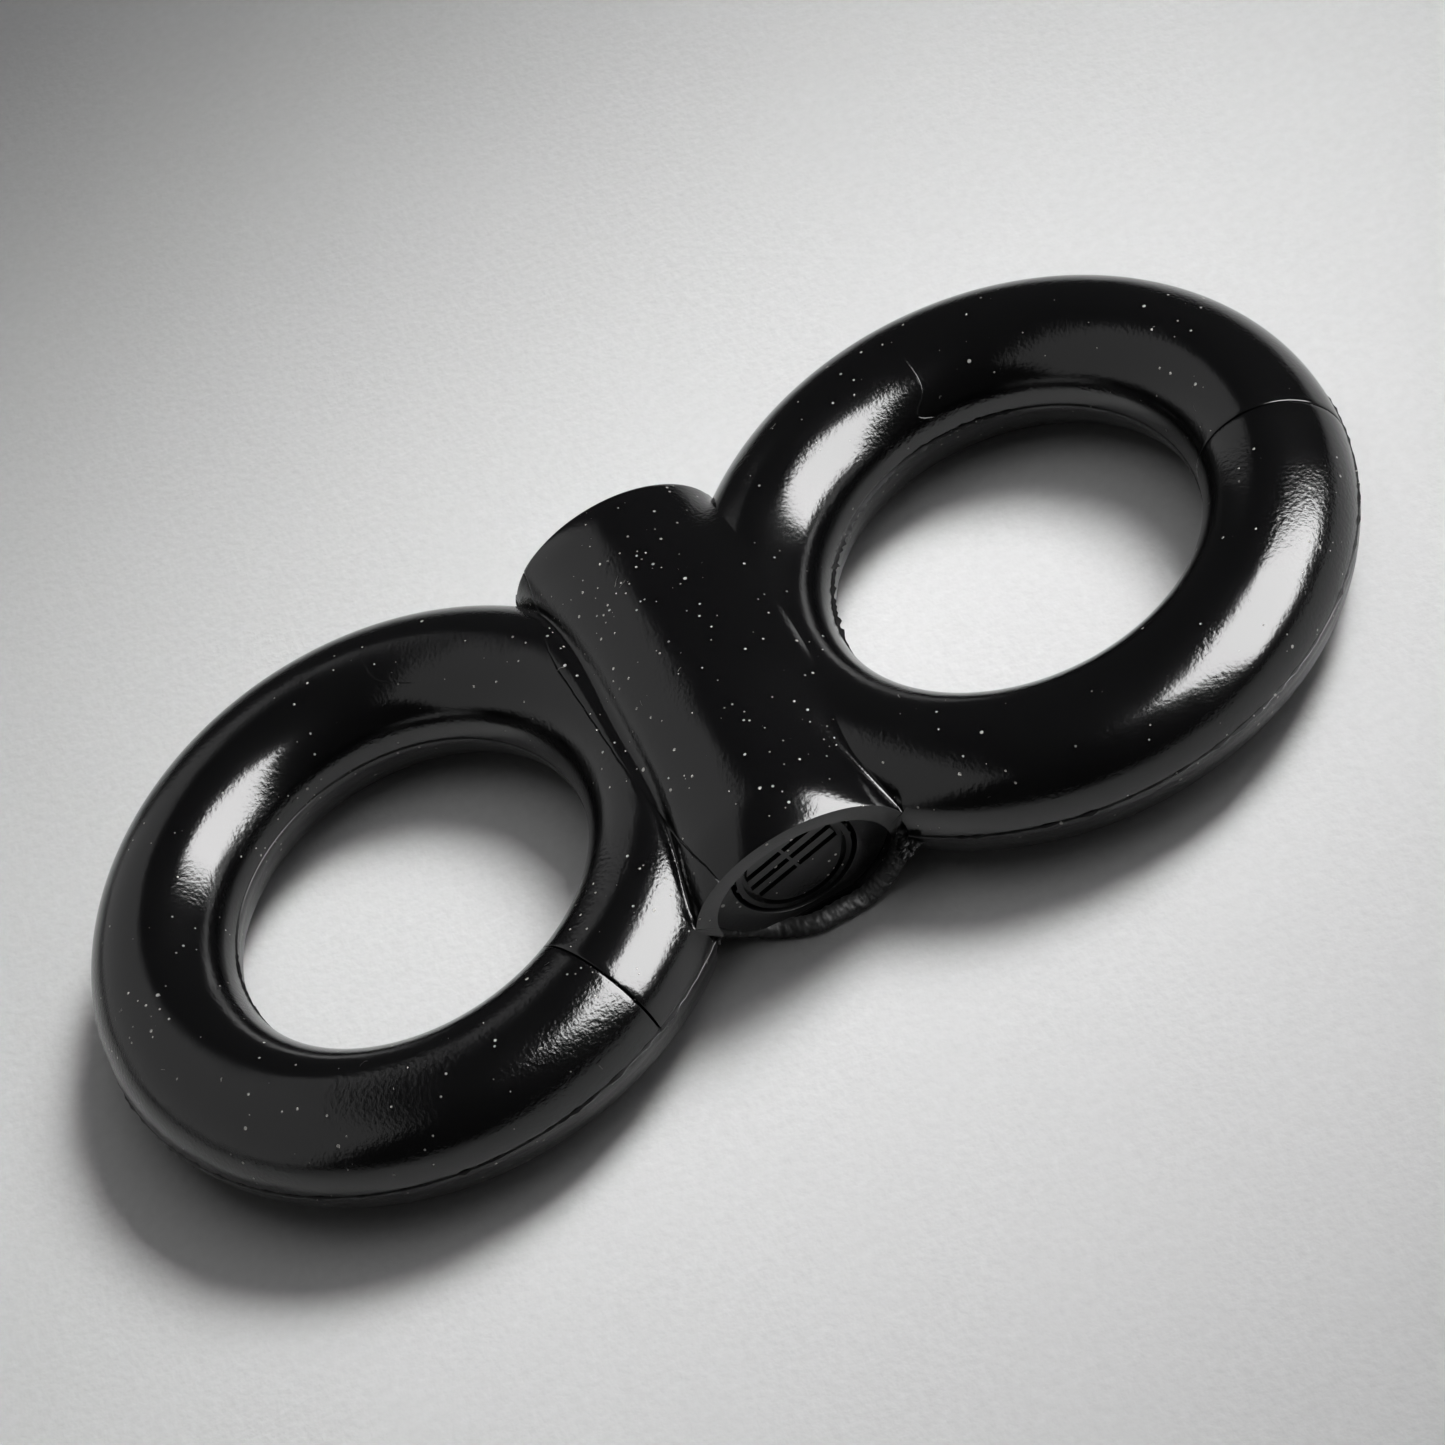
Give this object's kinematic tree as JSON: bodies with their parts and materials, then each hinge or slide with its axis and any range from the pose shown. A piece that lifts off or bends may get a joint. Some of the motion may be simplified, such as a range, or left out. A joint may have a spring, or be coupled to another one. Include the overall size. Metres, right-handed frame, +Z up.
{
  "type": "double ring with cross sleeve",
  "caption": "Flat double ring of thick round section, with a hollow cross sleeve at the waist that holds a sliding, screw-capped round insert.",
  "frame": {"origin": "on the surface it rests on, under the middle of the double ring, where the sleeve's axis crosses the line through both ring centres", "axes": "+X from the left ring's centre to the right ring's, +Y from the sleeve's open mouth to its rear end, +Z up, square to the plane of the rings"},
  "size_m": [0.1236, 0.0618, 0.0162],
  "materials": {
    "ring_elastomer": "gloss",
    "sleeve_elastomer": "gloss",
    "core_elastomer": "matt",
    "liner_plastic": "satin",
    "insert_plastic": "gloss",
    "seal_rubber": "matt"
  },
  "bodies": {
    "ring_body": {"left_ring_upper_shell": "ring_elastomer", "left_ring_lower_shell": "ring_elastomer", "left_ring_core": "core_elastomer", "right_ring_upper_shell": "ring_elastomer", "right_ring_lower_shell": "ring_elastomer", "right_ring_core": "core_elastomer", "sleeve_upper_shell": "sleeve_elastomer", "sleeve_lower_shell": "sleeve_elastomer", "mouth_lip": "sleeve_elastomer", "sleeve_liner": "liner_plastic"},
    "insert": {"insert_barrel": "insert_plastic", "insert_end_plug": "insert_plastic", "end_seal": "seal_rubber"},
    "seal": {"cap_seal": "seal_rubber"},
    "cap": {"insert_cap": "insert_plastic"}
  },
  "joints": [
    {"name": "insert_slide", "type": "slide", "parent": "ring_body", "child": "insert", "axis": [0, -1, 0], "range_m": [0, 0.03]},
    {"name": "cap_rise", "type": "slide", "parent": "insert", "child": "seal", "axis": [0, -1, 0], "range_m": [0, 0.003]},
    {"name": "cap_turn", "type": "hinge", "parent": "seal", "child": "cap", "pos_m": [0, -0.016, 0.00781], "axis": [0, -1, 0], "range_deg": [0, 1080]}
  ],
  "couplings": [
    {"joint": "cap_turn", "follows": "cap_rise", "rad_per_m": 6283.2}
  ]
}
